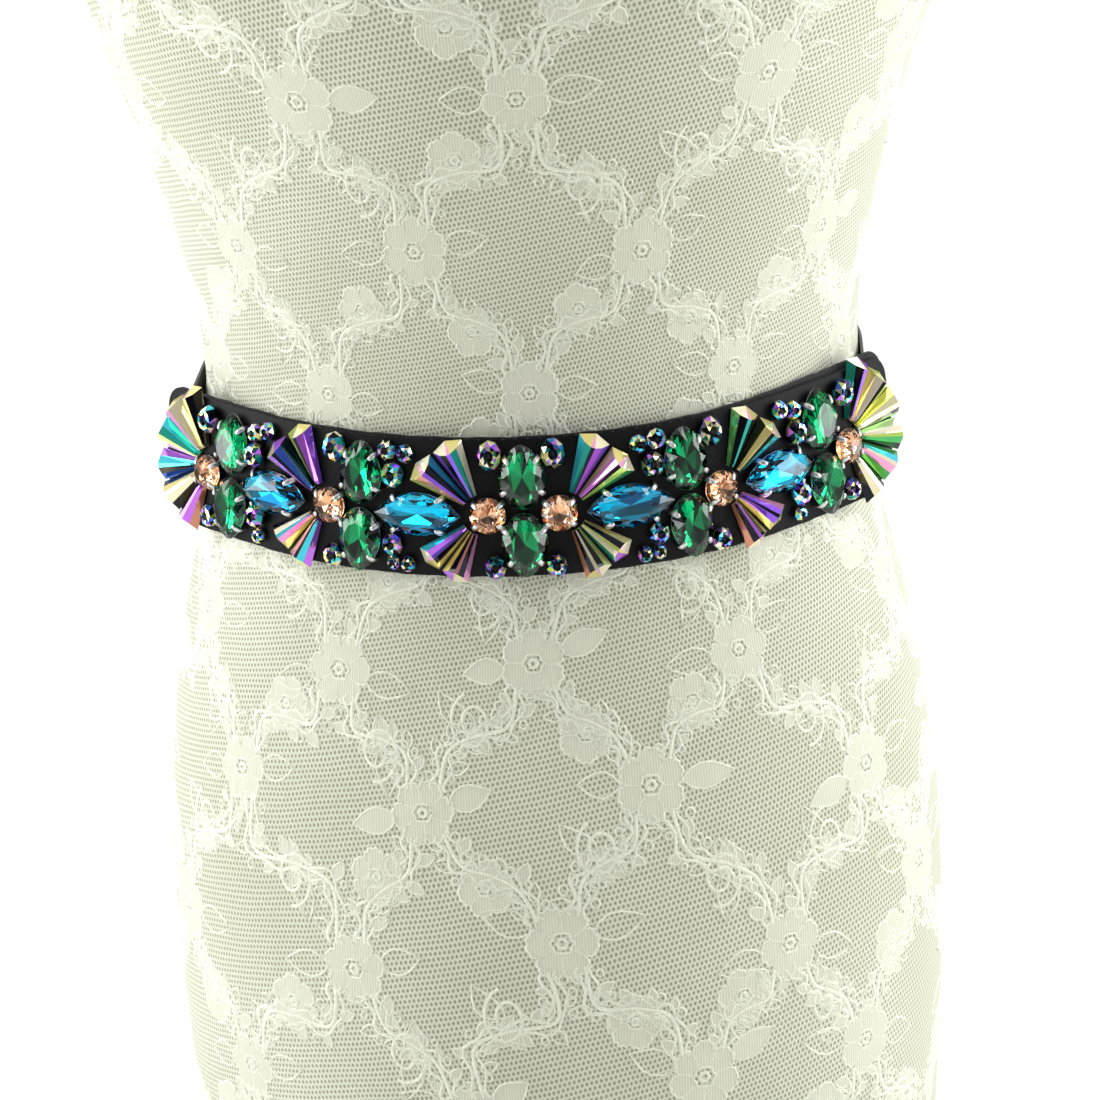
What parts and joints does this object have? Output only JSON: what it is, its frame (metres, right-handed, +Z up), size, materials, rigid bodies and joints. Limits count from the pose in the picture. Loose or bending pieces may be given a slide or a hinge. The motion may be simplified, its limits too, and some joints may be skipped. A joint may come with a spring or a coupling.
{
  "type": "rhinestone belt on a dress form",
  "caption": "Stiff black belt set with foiled stones and fans of rainbow crystals, snapped round a limbless lace-covered dress form that stands on a flat base.",
  "frame": {"origin": "centre of the part's box in plan, at floor level under the form's flat base", "axes": "+Z up along the form's axis; the stones face -Y; +X is to the right of a viewer who faces the stones"},
  "size_m": [0.3736, 0.274, 0.82],
  "materials": {
    "lace_cover": "stretch floral lace over a pale plain cover, matt",
    "black_satin": "black satin over a stiff core, soft sheen",
    "black_felt": "black felt backing, matt",
    "black_elastic": "black ribbed elastic",
    "snap_metal": "polished snap cap",
    "amber_glass": "foil-backed champagne glass, faceted, in silver claws",
    "emerald_glass": "foil-backed emerald glass, faceted, in silver claws",
    "blue_glass": "foil-backed blue glass, faceted, in silver claws",
    "coated_crystal": "rainbow-coated crystal with long bright facets"
  },
  "bodies": {
    "root": {"belt_backing": "black_felt", "belt_band": "black_satin", "end_fan_left": "coated_crystal", "end_fan_right": "coated_crystal", "fan_left_1_lower": "coated_crystal", "fan_left_1_upper": "coated_crystal", "fan_left_2_lower": "coated_crystal", "fan_left_2_upper": "coated_crystal", "fan_right_1_lower": "coated_crystal", "fan_right_1_upper": "coated_crystal", "fan_right_2_lower": "coated_crystal", "fan_right_2_upper": "coated_crystal", "form_torso": "lace_cover", "navette_left_1": "blue_glass", "navette_left_2": "blue_glass", "navette_right_1": "blue_glass", "navette_right_2": "blue_glass", "pear_left_1_lower": "emerald_glass", "pear_left_1_upper": "emerald_glass", "pear_left_2_lower": "emerald_glass", "pear_left_2_upper": "emerald_glass", "pear_middle_lower": "emerald_glass", "pear_middle_upper": "emerald_glass", "pear_right_1_lower": "emerald_glass", "pear_right_1_upper": "emerald_glass", "pear_right_2_lower": "emerald_glass", "pear_right_2_upper": "emerald_glass", "round_left_1": "amber_glass", "round_left_2": "amber_glass", "round_left_3": "amber_glass", "round_right_1": "amber_glass", "round_right_2": "amber_glass", "round_right_3": "amber_glass", "snap_1": "snap_metal", "snap_2": "snap_metal", "strap_left": "black_elastic", "strap_right": "black_elastic"}
  },
  "joints": []
}
